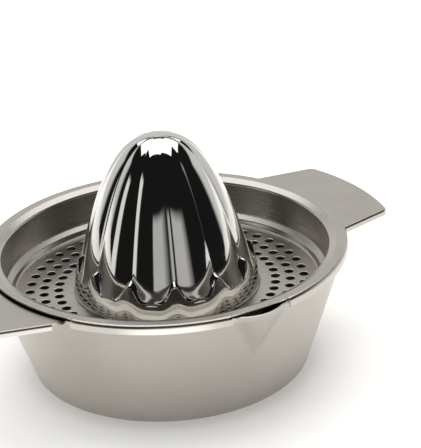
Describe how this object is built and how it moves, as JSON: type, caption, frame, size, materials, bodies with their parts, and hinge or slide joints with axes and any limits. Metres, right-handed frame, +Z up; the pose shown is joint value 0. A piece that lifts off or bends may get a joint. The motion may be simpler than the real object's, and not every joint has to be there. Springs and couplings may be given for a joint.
{
  "type": "hand citrus juicer",
  "caption": "Steel citrus juicer: a round bowl with a spout and a side handle, under a lift-off perforated strainer with a handle and a fluted domed reamer.",
  "frame": {"origin": "on the juicer's axis, at the flat bottom of the bowl", "axes": "+Z up along the axis, +X towards the strainer's handle, -X towards the bowl's handle, -Y towards the pouring spout"},
  "size_m": [0.19, 0.1508, 0.0989],
  "materials": {
    "bowl_steel": "satin brushed stainless steel",
    "strainer_steel": "fine satin stainless steel",
    "reamer_steel": "mirror polished stainless steel"
  },
  "bodies": {
    "bowl": {"bowl": "bowl_steel"},
    "strainer": {"strainer_tray": "strainer_steel", "reamer_cone": "reamer_steel"}
  },
  "joints": [
    {"name": "strainer_lift", "type": "slide", "parent": "bowl", "child": "strainer", "axis": [0, 0, 1], "range_m": [0, 0.08]}
  ]
}
